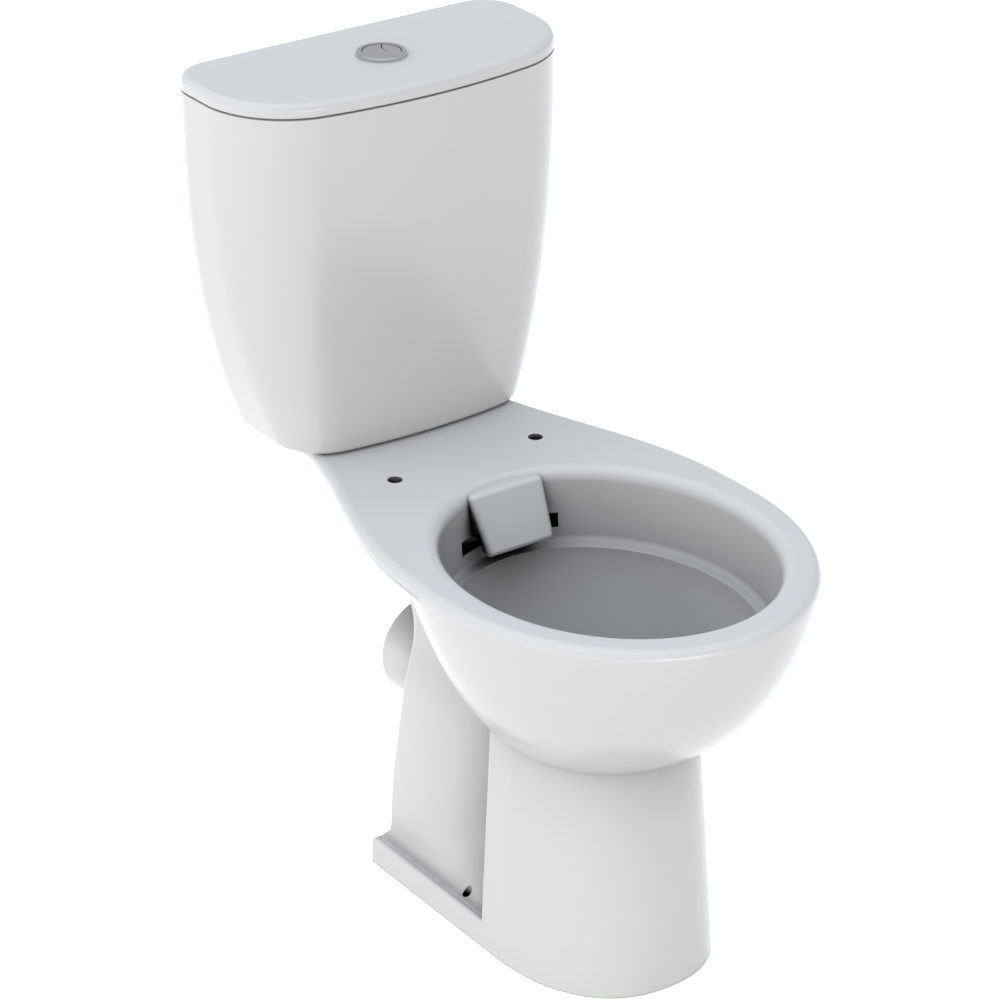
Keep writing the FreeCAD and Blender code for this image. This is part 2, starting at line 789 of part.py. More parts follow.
# ---------------------------------------------------------------- coupling of tank and pan
def close_coupling_gasket():
    radius = gasket_recess_radius - gasket_clearance
    floor_z = pan_height - gasket_recess_depth
    body = ring(radius, gasket_bore_radius, tank_base_z - floor_z, 0, valve_y, floor_z)
    nut = backnut_radius + gasket_clearance
    return body.cut(cylinder(nut, backnut_height + 1, 0, valve_y, tank_base_z - backnut_height))


def pair(make):
    """The same piece on the left and right coupling bolt."""
    return Part.makeCompound([make(side * bolt_x) for side in (-1, 1)])


shelf_under_z = pan_height - shelf_thickness
bolt_head_z = tank_base_z + tank_floor + rubber_washer
wing_nut_z = shelf_under_z - rubber_washer - plate_washer - wing_nut_height


def coupling_bolts():
    def bolt(x):
        tail = wing_nut_z - bolt_tail
        shank = cylinder(bolt_radius, bolt_head_z - tail, x, valve_y, tail)
        head = cylinder(bolt_head_radius, bolt_head_height, x, valve_y, bolt_head_z)
        head = head.makeFillet(1.5, edges_at(head, bolt_head_z + bolt_head_height))
        slot = block(x - bolt_head_radius, x + bolt_head_radius, valve_y - 0.8, valve_y + 0.8,
                     bolt_head_z + bolt_head_height - 1.8, bolt_head_z + bolt_head_height + 1)
        return shank.fuse(head).cut(slot)
    return pair(bolt)


def bolt_head_seals():
    def seal(x):
        return ring(rubber_washer_radius, bolt_radius, rubber_washer, x, valve_y, tank_base_z + tank_floor)
    return pair(seal)


def deck_seals():
    def seal(x):
        return ring(rubber_washer_radius, bolt_radius, rubber_washer, x, valve_y, shelf_under_z - rubber_washer)
    return pair(seal)


def plate_washers():
    def washer(x):
        z = shelf_under_z - rubber_washer - plate_washer
        return ring(plate_washer_radius, bolt_radius, plate_washer, x, valve_y, z)
    return pair(washer)


def wing_nuts():
    def nut(x):
        hub = cylinder(wing_nut_radius, wing_nut_height, x, valve_y, wing_nut_z)
        half = wing_thickness / 2
        wings = block(x - half, x + half, valve_y - wing_span, valve_y + wing_span,
                      wing_nut_z - wing_nut_height / 2, wing_nut_z + wing_nut_height / 2)
        return hub.fuse(wings).cut(cylinder(bolt_radius, 40.0, x, valve_y, wing_nut_z - 20)).removeSplitter()
    return pair(nut)


# ---------------------------------------------------------------- flush valve
tank_floor_z = tank_base_z + tank_floor
flange_z = tank_floor_z + valve_washer
seat_z = flange_z + valve_flange + seat_lip_height
rail_z = lever_z + lever_thickness / 2 + joint_gap


def flush_valve_base():
    bottom = tank_base_z - spigot_drop
    spigot = cylinder(spigot_radius, flange_z - bottom, 0, valve_y, bottom)
    flange = cylinder(valve_flange_radius, valve_flange, 0, valve_y, flange_z)
    lip = cylinder(spigot_bore_radius + seat_lip_width, seat_lip_height, 0, valve_y, flange_z + valve_flange)
    body = join([spigot, flange, lip])
    body = body.cut(cylinder(spigot_bore_radius, drill_length, 0, valve_y, bottom - 1))
    for angle in (0, 60, 120):
        web = block(-spigot_bore_radius - 1, spigot_bore_radius + 1, -1.0, 1.0, 0, 12.0)
        web.rotate(V(0, 0, 0), UP, angle)
        web.translate(V(0, valve_y, bottom + 4))
        body = body.fuse(web)
    return body.removeSplitter()


def flush_valve_washer():
    return ring(valve_flange_radius - 1, spigot_radius, valve_washer, 0, valve_y, tank_floor_z)


def flush_valve_backnut():
    z = tank_base_z - backnut_height
    body = cylinder(backnut_radius, backnut_height, 0, valve_y, z)
    for k in range(8):
        angle = 2 * math.pi * k / 8
        body = body.cut(cylinder(4.0, 8.0, backnut_radius * math.cos(angle), valve_y + backnut_radius * math.sin(angle),
                                 z - 1))
    return body.cut(cylinder(spigot_radius, backnut_height + 2, 0, valve_y, z - 1))


def flush_valve_cage():
    """Tower on the valve base: foot ring, posts, a guide plate and the ears of the two levers."""
    foot_z = flange_z + valve_flange
    radius = valve_flange_radius
    inner = radius - cage_rim_width
    parts = [ring(radius, inner, cage_foot_height, 0, valve_y, foot_z)]
    half = cage_post_width / 2
    for k in range(cage_posts):
        post = block(inner, radius - 0.5, -half, half, 0, cage_plate_z - foot_z + 1)
        post.rotate(V(0, 0, 0), UP, 45 + 360 * k / cage_posts)
        post.translate(V(0, valve_y, foot_z))
        parts.append(post)
    band_z = (foot_z + cage_plate_z) / 2
    parts.append(ring(radius, inner, 6.0, 0, valve_y, band_z))
    plate = cylinder(radius, cage_plate, 0, valve_y, cage_plate_z)
    arm_reach = lever_tip_x + link_radius + 5
    plate = plate.fuse(block(0, arm_reach, valve_y - 8, valve_y + 8, cage_plate_z, cage_plate_z + cage_plate))
    parts.append(plate)
    near = lever_width / 2 + ear_gap
    ear_top = lever_z + lever_boss_radius
    for side in (-1, 1):
        for face in (-1, 1):
            y0 = min(face * near, face * (near + ear_thickness))
            x0 = side * lever_pivot_x - ear_width / 2
            parts.append(block(x0, x0 + ear_width, valve_y + y0, valve_y + y0 + ear_thickness,
                               cage_plate_z + cage_plate - 1, ear_top))
    body = join(parts)
    reach = near + ear_thickness + 1
    cuts = [cylinder(tube_radius + cage_guide_clearance, 20.0, 0, valve_y, cage_plate_z - 5),
            cylinder(link_radius + cage_guide_clearance, 20.0, lever_tip_x, valve_y, cage_plate_z - 5)]
    for side in (-1, 1):
        cuts.append(cylinder(pin_radius, 2 * reach, side * lever_pivot_x, valve_y - reach, lever_z, V(0, 1, 0)))
    return body.cut(cuts)


def lever_pins():
    reach = lever_width / 2 + ear_gap + ear_thickness
    return Part.makeCompound([cylinder(pin_radius, 2 * reach, side * lever_pivot_x, valve_y - reach, lever_z,
                                       V(0, 1, 0)) for side in (-1, 1)])


def flush_lever(side, toe_half_width):
    """A rocker: the rod presses its inner end and its toe lifts."""
    half = lever_thickness / 2
    wide = lever_width / 2
    x0, x1 = sorted((side * lever_inner_x, side * lever_tip_x))
    bar = block(x0, x1, valve_y - wide, valve_y + wide, lever_z - half, lever_z + half)
    toe_x = side * lever_tip_x
    toe = block(toe_x - lever_toe_length / 2, toe_x + lever_toe_length / 2, valve_y - toe_half_width,
                valve_y + toe_half_width, lever_z - half, lever_z + half)
    boss = cylinder(lever_boss_radius, lever_width, side * lever_pivot_x, valve_y - wide, lever_z, V(0, 1, 0))
    body = join([bar, toe, boss])
    bore = cylinder(pin_radius + pin_clearance, lever_width + 2, side * lever_pivot_x, valve_y - wide - 1, lever_z,
                    V(0, 1, 0))
    return body.cut(bore)


def full_flush_lever():
    return flush_lever(-1, rail_offset + rail_width)


def half_flush_lever():
    return flush_lever(1, lever_width / 2 + toe_widening)


def flush_valve_tube():
    """Overflow tube with the sealing disc at its foot and the lifting yoke on its top."""
    tube = cylinder(tube_radius, tube_top_z - seat_z, 0, valve_y, seat_z)
    disc = cylinder(disc_radius, disc_thickness, 0, valve_y, seat_z + seal_thickness)
    parts = [tube, disc]
    end = lever_tip_x + lever_toe_length / 2
    for face in (-1, 1):
        y0 = min(face * rail_offset, face * (rail_offset + rail_width))
        parts.append(block(-yoke_half_length, yoke_half_length, valve_y + y0, valve_y + y0 + rail_width,
                           tube_top_z - yoke_grip, rail_z + rail_height))
        parts.append(block(-end, yoke_half_length, valve_y + y0, valve_y + y0 + rail_width, rail_z,
                           rail_z + rail_height))
    body = join(parts)
    return body.cut(cylinder(tube_bore_radius, tube_top_z - seat_z + 2, 0, valve_y, seat_z - 1))


def flush_valve_seal():
    return ring(seal_radius, tube_radius, seal_thickness, 0, valve_y, seat_z)


def flush_valve_float():
    body = ring(valve_float_radius, tube_radius, valve_float_height, 0, valve_y, valve_float_bottom_z)
    cup = ring(valve_float_radius - 2, tube_radius + 2, valve_float_height - 3, 0, valve_y, valve_float_bottom_z - 1)
    return body.cut(cup)


def half_flush_link():
    """The rod that the half flush lever lifts by a stirrup round its toe."""
    half = lever_toe_length / 2
    inside = lever_width / 2 + toe_widening + ear_gap
    outside = inside + link_wall
    foot_z = lever_z - lever_thickness / 2 - stirrup_drop - stirrup_height
    top_z = rail_z + stirrup_height
    frame = block(lever_tip_x - half, lever_tip_x + half, valve_y - outside, valve_y + outside, foot_z, top_z)
    frame = frame.cut(block(lever_tip_x - half - 1, lever_tip_x + half + 1, valve_y - inside, valve_y + inside,
                            foot_z + stirrup_height, rail_z))
    rod = cylinder(link_radius, foot_z - link_foot_z + 1, lever_tip_x, valve_y, link_foot_z)
    weight = cylinder(link_foot_radius, link_foot_height, lever_tip_x, valve_y, link_foot_z)
    return join([rod, weight, frame])


# ---------------------------------------------------------------- push buttons in the lid
bezel_top_z = lid_top_z + bezel_height
button_top_z = bezel_top_z - button_inset
button_under_z = button_top_z - button_thickness
barrel_floor_z = lid_under_z - barrel_drop
rod_foot_z = lever_z + lever_thickness / 2 + joint_gap


def button_bezel():
    flange = cylinder(bezel_radius, bezel_height, 0, valve_y, lid_top_z)
    flange = flange.makeFillet(2.0, edges_at(flange, bezel_top_z))
    barrel = cylinder(barrel_radius, lid_top_z - barrel_floor_z, 0, valve_y, barrel_floor_z)
    body = flange.fuse(barrel)
    body = body.cut(cylinder(bezel_bore_radius, drill_length, 0, valve_y, barrel_floor_z + barrel_floor))
    holes = [cylinder(stem_hole_radius, 10.0, side * rod_x, valve_y, barrel_floor_z - 2) for side in (-1, 1)]
    return body.cut(holes).removeSplitter()


def button_backnut():
    z = lid_under_z - lid_nut_height
    body = cylinder(lid_nut_radius, lid_nut_height, 0, valve_y, z)
    for k in range(6):
        angle = 2 * math.pi * (k + 0.5) / 6
        body = body.cut(cylinder(3.5, 20.0, (lid_nut_radius + 1) * math.cos(angle),
                                 valve_y + (lid_nut_radius + 1) * math.sin(angle), z - 1))
    return body.cut(cylinder(barrel_radius, 20.0, 0, valve_y, z - 1))


def button_cap(half_flush):
    """One part of the split button, dished underneath, with rounded top edges."""
    radius = bezel_bore_radius - button_clearance
    disc = cylinder(radius, button_thickness, 0, valve_y, button_under_z)
    if half_flush:
        body = disc.common(cylinder(button_split_radius, drill_length, button_split_x, valve_y, button_under_z - 10))
    else:
        body = disc.cut(cylinder(button_split_radius + button_split_gap, drill_length, button_split_x, valve_y,
                                 button_under_z - 10))
    return body.makeFillet(0.8, edges_at(body, button_top_z))


def full_flush_button():
    return button_cap(False)


def half_flush_button():
    return button_cap(True)


def flush_rod(side):
    return cylinder(rod_radius, button_under_z - rod_foot_z, side * rod_x, valve_y, rod_foot_z)


def button_spring(side):
    bottom = barrel_floor_z + barrel_floor + spring_wire_radius
    top = button_under_z - spring_wire_radius
    helix = Part.makeHelix((top - bottom) / spring_turns, top - bottom, spring_radius)
    wire = Part.Wire(helix.Edges)
    profile = Part.Wire(Part.Circle(V(spring_radius, 0, 0), V(0, 1, 0), spring_wire_radius).toShape())
    coil = wire.makePipeShell([profile], True, True)
    coil.translate(V(side * rod_x, valve_y, bottom))
    return coil


# ---------------------------------------------------------------- fill valve
fill_flange_z = tank_floor_z + fill_washer
float_y = fill_y - stem_radius - float_gap - float_depth / 2
head_z = stem_top_z
adjuster_y = float_y - adjuster_setback
lever_joint_y = fill_y - head_radius - float_pivot_gap
lever_joint_z = head_z + head_height / 2
ear_inside = float_lever_width / 2 + ear_gap
ear_outside = ear_inside + float_ear_thickness
float_ring_z = float_bottom_z + float_height - float_ring_height


def fill_valve_body():
    tail_z = tank_base_z - tail_length
    shank_z = tank_base_z - fill_nut_height - tail_neck
    tail = cylinder(tail_radius, shank_z - tail_z + 1, fill_x, fill_y, tail_z)
    shank = cylinder(shank_radius, fill_flange_z - shank_z, fill_x, fill_y, shank_z)
    flange = cylinder(fill_flange_radius, fill_flange, fill_x, fill_y, fill_flange_z)
    stem = cylinder(stem_radius, stem_top_z - fill_flange_z, fill_x, fill_y, fill_flange_z)
    head = cylinder(head_radius, head_height, fill_x, fill_y, head_z)
    collar_z = float_ring_z - stop_collar_height
    collar = cylinder(stem_radius + stop_collar_width, stop_collar_height, fill_x, fill_y, collar_z)
    parts = [tail, shank, flange, stem, head, collar]
    tall = float_ear_height / 2
    for side in (-1, 1):
        x0, x1 = sorted((fill_x + side * ear_inside, fill_x + side * ear_outside))
        ear_back = fill_y - math.sqrt(head_radius ** 2 - ear_outside ** 2) + 1
        parts.append(block(x0, x1, lever_joint_y - tall, ear_back, lever_joint_z - tall, lever_joint_z + tall))
    body = join(parts)
    cuts = [cylinder(tail_bore_radius, stem_top_z - tail_z, fill_x, fill_y, tail_z - 1), float_lever_pin()]
    return body.cut(cuts)


def float_lever_pin():
    return cylinder(float_pin_radius, 2 * ear_outside, fill_x - ear_outside, lever_joint_y, lever_joint_z, V(1, 0, 0))


def fill_valve_washer():
    return ring(fill_flange_radius, shank_radius, fill_washer, fill_x, fill_y, tank_floor_z)


def fill_valve_backnut():
    z = tank_base_z - fill_nut_height
    body = hexagon(fill_nut_flats, fill_nut_height, fill_x, fill_y, z)
    return body.cut(cylinder(shank_radius, fill_nut_height + 2, fill_x, fill_y, z - 1))


def fill_valve_cap():
    z = head_z + head_height
    body = cylinder(cap_radius, cap_height, fill_x, fill_y, z)
    return body.makeFillet(2.5, edges_at(body, z + cap_height))


def fill_valve_float():
    """A box float, open underneath, with a ring that slides on the valve's stem."""
    x0 = fill_x - float_width / 2
    y0 = float_y - float_depth / 2
    top = float_bottom_z + float_height
    body = block(x0, x0 + float_width, y0, y0 + float_depth, float_bottom_z, top)
    upright = [e for e in body.Edges if e.BoundBox.ZLength > float_height - 1]
    body = body.makeFillet(float_corner_radius, upright)
    w = float_wall
    hollow = block(x0 + w, x0 + float_width - w, y0 + w, y0 + float_depth - w, float_bottom_z - 1, top - w)
    upright = [e for e in hollow.Edges if e.BoundBox.ZLength > float_height - 2 * w]
    body = body.cut(hollow.makeFillet(float_corner_radius - w, upright))
    inner = stem_radius + float_ring_clearance
    z = float_ring_z
    collar = cylinder(inner + float_ring_width, float_ring_height, fill_x, fill_y, z)
    arm = block(fill_x - 5, fill_x + 5, y0 + float_depth - w, fill_y - stem_radius, z, top)
    body = join([body, collar, arm])
    return body.cut(cylinder(inner, float_ring_height + 2, fill_x, fill_y, z - 1))


def float_adjuster():
    """The thin rod that carries the float's lift to the lever."""
    slope = math.radians(float_lever_angle)
    drop = (lever_joint_y - adjuster_y + adjuster_radius) * math.tan(slope)
    top = lever_joint_z - drop - float_lever_thickness / 2 / math.cos(slope) - joint_gap
    base = float_bottom_z + float_height
    return cylinder(adjuster_radius, top - base, fill_x, adjuster_y, base)


def float_lever():
    """The lever that shuts the valve as the float rises."""
    length = (lever_joint_y - adjuster_y) / math.cos(math.radians(float_lever_angle)) + float_lever_reach
    half = float_lever_width / 2
    thick = float_lever_thickness / 2
    bar = block(-half, half, -length, 0, -thick, thick)
    boss = cylinder(float_pivot_gap - 1, float_lever_width, -half, 0, 0, V(1, 0, 0))
    body = bar.fuse(boss).cut(cylinder(float_pin_radius + pin_clearance, float_lever_width + 2, -half - 1, 0, 0,
                                       V(1, 0, 0)))
    body.rotate(V(0, 0, 0), V(1, 0, 0), float_lever_angle)
    body.translate(V(fill_x, lever_joint_y, lever_joint_z))
    return body.removeSplitter()


def fill_valve_group():
    return {"fill_valve_body": fill_valve_body(), "fill_valve_washer": fill_valve_washer(),
            "fill_valve_backnut": fill_valve_backnut(), "fill_valve_cap": fill_valve_cap(),
            "fill_valve_float": fill_valve_float(), "float_adjuster": float_adjuster(),
            "float_lever": float_lever(), "float_lever_pin": float_lever_pin()}


def flush_valve_group():
    return {"flush_valve_base": flush_valve_base(), "flush_valve_washer": flush_valve_washer(),
            "flush_valve_backnut": flush_valve_backnut(), "flush_valve_cage": flush_valve_cage(),
            "flush_valve_tube": flush_valve_tube(), "flush_valve_seal": flush_valve_seal(),
            "flush_valve_float": flush_valve_float(), "full_flush_lever": full_flush_lever(),
            "half_flush_lever": half_flush_lever(), "half_flush_link": half_flush_link(),
            "lever_pins": lever_pins()}


def button_group():
    return {"button_bezel": button_bezel(), "button_backnut": button_backnut(),
            "full_flush_button": full_flush_button(), "half_flush_button": half_flush_button(),
            "full_flush_rod": flush_rod(-1), "half_flush_rod": flush_rod(1),
            "full_button_spring": button_spring(-1), "half_button_spring": button_spring(1)}


def coupling_group():
    return {"close_coupling_gasket": close_coupling_gasket(), "coupling_bolts": coupling_bolts(),
            "bolt_head_seals": bolt_head_seals(), "deck_seals": deck_seals(),
            "plate_washers": plate_washers(), "wing_nuts": wing_nuts()}


os.makedirs("parts", exist_ok=True)
nodes = {"pan": pan(), "cistern_tank": cistern_tank(), "cistern_lid": cistern_lid()}
for group in (coupling_group(), flush_valve_group(), button_group(), fill_valve_group()):
    nodes.update(group)
for name, shape in nodes.items():
    shape.exportStep("parts/" + name + ".step")
    box = shape.BoundBox
    print(f"{name:24s} solids {len(shape.Solids)} valid {shape.isValid()} volume {shape.Volume / 1000:9.1f} cm3 "
          f"x {box.XMin:7.1f} {box.XMax:7.1f} y {box.YMin:7.1f} {box.YMax:7.1f} z {box.ZMin:6.1f} {box.ZMax:6.1f}")
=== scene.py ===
import math

import bmesh
import bpy
from bpy.props import FloatProperty, FloatVectorProperty, PointerProperty
from bpy.types import Operator, Panel, PropertyGroup
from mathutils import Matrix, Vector


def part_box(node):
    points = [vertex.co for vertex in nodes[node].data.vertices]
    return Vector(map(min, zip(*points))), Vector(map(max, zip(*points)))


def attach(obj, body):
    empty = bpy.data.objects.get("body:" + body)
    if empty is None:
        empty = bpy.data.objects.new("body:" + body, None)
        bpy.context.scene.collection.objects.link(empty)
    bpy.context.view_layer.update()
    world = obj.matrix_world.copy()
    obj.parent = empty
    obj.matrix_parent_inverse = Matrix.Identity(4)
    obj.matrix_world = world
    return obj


bl_info = {
    "name": "Close coupled toilet",
    "version": (1, 0, 0),
    "blender": (4, 2, 0),
    "location": "View3D > Sidebar > Toilet",
    "description": "Dresses the toilet's solids with glaze, chrome, plastics and small fittings",
    "category": "Object",
}

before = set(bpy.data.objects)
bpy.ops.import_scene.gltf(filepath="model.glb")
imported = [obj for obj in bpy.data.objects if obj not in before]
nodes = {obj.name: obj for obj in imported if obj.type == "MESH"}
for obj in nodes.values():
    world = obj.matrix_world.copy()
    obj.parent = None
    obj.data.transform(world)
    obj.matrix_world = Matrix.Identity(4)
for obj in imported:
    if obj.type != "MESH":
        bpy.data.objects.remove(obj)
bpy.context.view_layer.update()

MM = 0.001
ROOT_BODY = "pan_and_tank"
BOLT_RADIUS = 4.0 * MM
TAIL_RADIUS = 10.0 * MM
TAIL_NECK = 1.5 * MM
BOLT_POINT = 0.4 * MM
NUT_GAP = 0.2 * MM
TAIL_POINT = 1.0 * MM
POINTS_AROUND_THREAD = 40
ROWS_PER_TURN = 6

# Reach and samples of the painted shade in the glaze's hollows and corners.
WIDE_HOLLOW = 200 * MM
NEAR_CORNER = 80 * MM
OCCLUSION_SAMPLES = 12
GLAZE_WAVE = 0.6 * MM
FINE_GRAIN = 0.1 * MM
GLAZE_IOR = 1.52
PLASTIC_IOR = 1.49

FLOOR_HALF_SIZE = 14.0
FLOOR_DROP = 0.2 * MM
SENSOR_WIDTH = 36.0
PURE_WHITE = (1.0, 1.0, 1.0)
HORIZON_TINT = (1.01, 1.0, 0.955)
ZENITH_TINT = (0.88, 0.975, 1.13)
# How bright a mirror sees the studio, from the horizon up to straight above.
MIRRORED_STUDIO = [(0.0, 1.0), (0.25, 0.62), (0.5, 0.52), (0.75, 0.7), (1.0, 0.8)]
MIRRORED_OVERHEAD = 0.5
FRONT_LIGHT_PLACE = (-0.6, -3.4, 0.30)
FRONT_LIGHT_AIM = (0.0, 0.0, 0.25)
FRONT_LIGHT_WIDTH = 2.4
FRONT_LIGHT_HEIGHT = 0.3
FRONT_LIGHT_TINT = (1.0, 0.99, 0.955)

GLAZED = ["pan", "cistern_tank", "cistern_lid"]
CHROMED = ["button_bezel", "full_flush_button", "half_flush_button"]
WHITE_MOULDED = ["button_backnut", "flush_valve_base", "flush_valve_backnut", "flush_valve_cage",
                 "fill_valve_body", "fill_valve_backnut", "wing_nuts", "full_flush_rod", "half_flush_rod",
                 "float_adjuster"]
GREY_MOULDED = ["full_flush_lever", "half_flush_lever", "half_flush_link", "fill_valve_cap", "float_lever"]
FLOATS = ["flush_valve_float", "fill_valve_float"]
TUBES = ["flush_valve_tube"]
RUBBER = ["close_coupling_gasket", "bolt_head_seals", "deck_seals", "flush_valve_washer", "fill_valve_washer"]
SILICONE = ["flush_valve_seal"]
STEEL = ["coupling_bolts", "plate_washers", "lever_pins", "float_lever_pin", "full_button_spring",
         "half_button_spring"]


# ---------------------------------------------------------------- settings
class ToiletGlaze(PropertyGroup):
    colour: FloatVectorProperty(name="Glaze colour", description="Colour of the fired white glaze",
                                subtype="COLOR", size=3, min=0, max=1, default=(0.465, 0.465, 0.465))
    bare_colour: FloatVectorProperty(name="Bare clay colour", description="Unglazed clay under the foot",
                                     subtype="COLOR", size=3, min=0, max=1, default=(0.40, 0.385, 0.355))
    roughness: FloatProperty(name="Glaze roughness", description="Roughness of the glossy glaze",
                             subtype="FACTOR", min=0, max=1, default=0.20)
    ripple: FloatProperty(name="Ripple", description="Strength of the faint waviness of a fired glaze",
                          subtype="FACTOR", min=0, max=1, default=0.05)
    # Painted shade: how far the glaze colour is darkened in deep hollows and in inner corners.
    hollow_shade: FloatProperty(name="Shade in hollows", description="How far deep hollows darken",
                                subtype="FACTOR", min=0, max=1, default=0.90)
    corner_shade: FloatProperty(name="Shade in corners", description="How far the inner corners darken",
                                subtype="FACTOR", min=0, max=1, default=0.50)
    bare_height: FloatProperty(name="Bare clay height", description="Height above the floor without glaze",
                               subtype="DISTANCE", unit="LENGTH", min=0, default=1.5 * MM)


class ToiletFittings(PropertyGroup):
    chrome: FloatVectorProperty(name="Satin chrome", description="Colour of the push button's plating",
                                subtype="COLOR", size=3, min=0, max=1, default=(0.50, 0.514, 0.532))
    white_plastic: FloatVectorProperty(name="White plastic", description="Colour of the moulded valve bodies",
                                       subtype="COLOR", size=3, min=0, max=1, default=(0.44, 0.44, 0.428))
    grey_plastic: FloatVectorProperty(name="Grey plastic", description="Colour of the levers and the cap",
                                      subtype="COLOR", size=3, min=0, max=1, default=(0.14, 0.155, 0.17))
    float_plastic: FloatVectorProperty(name="Float plastic", description="Colour of the two floats",
                                       subtype="COLOR", size=3, min=0, max=1, default=(0.29, 0.32, 0.35))
    tube_plastic: FloatVectorProperty(name="Tube plastic", description="Colour of the overflow tube",
                                      subtype="COLOR", size=3, min=0, max=1, default=(0.11, 0.20, 0.33))
    rubber: FloatVectorProperty(name="Rubber", description="Colour of gasket and washers",
                                subtype="COLOR", size=3, min=0, max=1, default=(0.018, 0.018, 0.019))
    silicone: FloatVectorProperty(name="Silicone", description="Colour of the flush valve's seal",
                                  subtype="COLOR", size=3, min=0, max=1, default=(0.30, 0.06, 0.04))
    steel: FloatVectorProperty(name="Steel", description="Colour of bolts, washers, pins and springs",
                               subtype="COLOR", size=3, min=0, max=1, default=(0.52, 0.51, 0.49))
    thread_depth: FloatProperty(name="Thread depth", description="Height of a thread's crest above its root",
                                subtype="DISTANCE", unit="LENGTH", min=0.1 * MM, default=0.45 * MM)
    bolt_pitch: FloatProperty(name="Bolt pitch", description="Distance between the turns of a bolt's thread",
                              subtype="DISTANCE", unit="LENGTH", min=0.5 * MM, default=1.25 * MM)
    tail_pitch: FloatProperty(name="Tail pitch", description="Distance between turns on the fill valve's tail",
                              subtype="DISTANCE", unit="LENGTH", min=0.5 * MM, default=1.8 * MM)


class ToiletStage(PropertyGroup):
    floor_colour: FloatVectorProperty(name="Floor", description="Colour of the plain floor",
                                      subtype="COLOR", size=3, min=0, max=1, default=(0.775, 0.76, 0.735))
    azimuth: FloatProperty(name="Azimuth", description="Camera's turn round the toilet, in degrees",
                           default=-35.15)
    elevation: FloatProperty(name="Elevation", description="Camera's height above the horizon, in degrees",
                             default=26.49)
    distance: FloatProperty(name="Distance", description="Camera's distance from the point it looks at",
                            subtype="DISTANCE", unit="LENGTH", default=3.494)
    lens: FloatProperty(name="Lens", description="Focal length", subtype="DISTANCE_CAMERA", default=140.76)
    target: FloatVectorProperty(name="Target", description="Point that the camera looks at",
                                subtype="TRANSLATION", unit="LENGTH", size=3,
                                default=(-0.0135, 0.0314, 0.3910))
    sky: FloatProperty(name="Sky", description="Brightness of the even light from all round",
                       min=0, default=0.60)
    overhead: FloatProperty(name="Overhead light", description="How much brighter the sky is straight above",
                            min=0, default=1.30)
    side: FloatProperty(name="Side light", description="How much brighter the sky is on the left",
                        min=0, default=2.0)
    floor_glow: FloatProperty(name="Floor glow", description="Light that the floor adds where it is seen",
                              min=0, default=0.66)
    fill: FloatProperty(name="Front light", description="Power of the low soft light in front",
                        subtype="POWER", unit="POWER", min=0, default=21.0)


# ---------------------------------------------------------------- shader expressions
class Channel:
    """A node's output that Python operators turn into Math and Vector Math nodes."""

    def __init__(self, tree, socket):
        self.tree = tree
        self.socket = socket

    def _math(self, operation, first, second):
        kind = "ShaderNodeVectorMath" if is_vector(first) or is_vector(second) else "ShaderNodeMath"
        return self.tree.node(kind, {"operation": operation}, {0: first, 1: second})

    def __add__(self, other):
        return self._math("ADD", self, other)

    def __radd__(self, other):
        return self._math("ADD", other, self)

    def __rsub__(self, other):
        return self._math("SUBTRACT", other, self)

    def __mul__(self, other):
        return self._math("MULTIPLY", self, other)

    def __rmul__(self, other):
        return self._math("MULTIPLY", other, self)

    def __pow__(self, other):
        return self._math("POWER", self, other)

    def __lt__(self, other):
        return self._math("LESS_THAN", self, other)

    def axis(self, letter):
        return self.tree.node("ShaderNodeSeparateXYZ", {}, {0: self}, "XYZ".index(letter))


def is_vector(value):
    if isinstance(value, Channel):
        return value.socket.type in {"VECTOR", "RGBA"}
    return isinstance(value, (tuple, list, Vector))


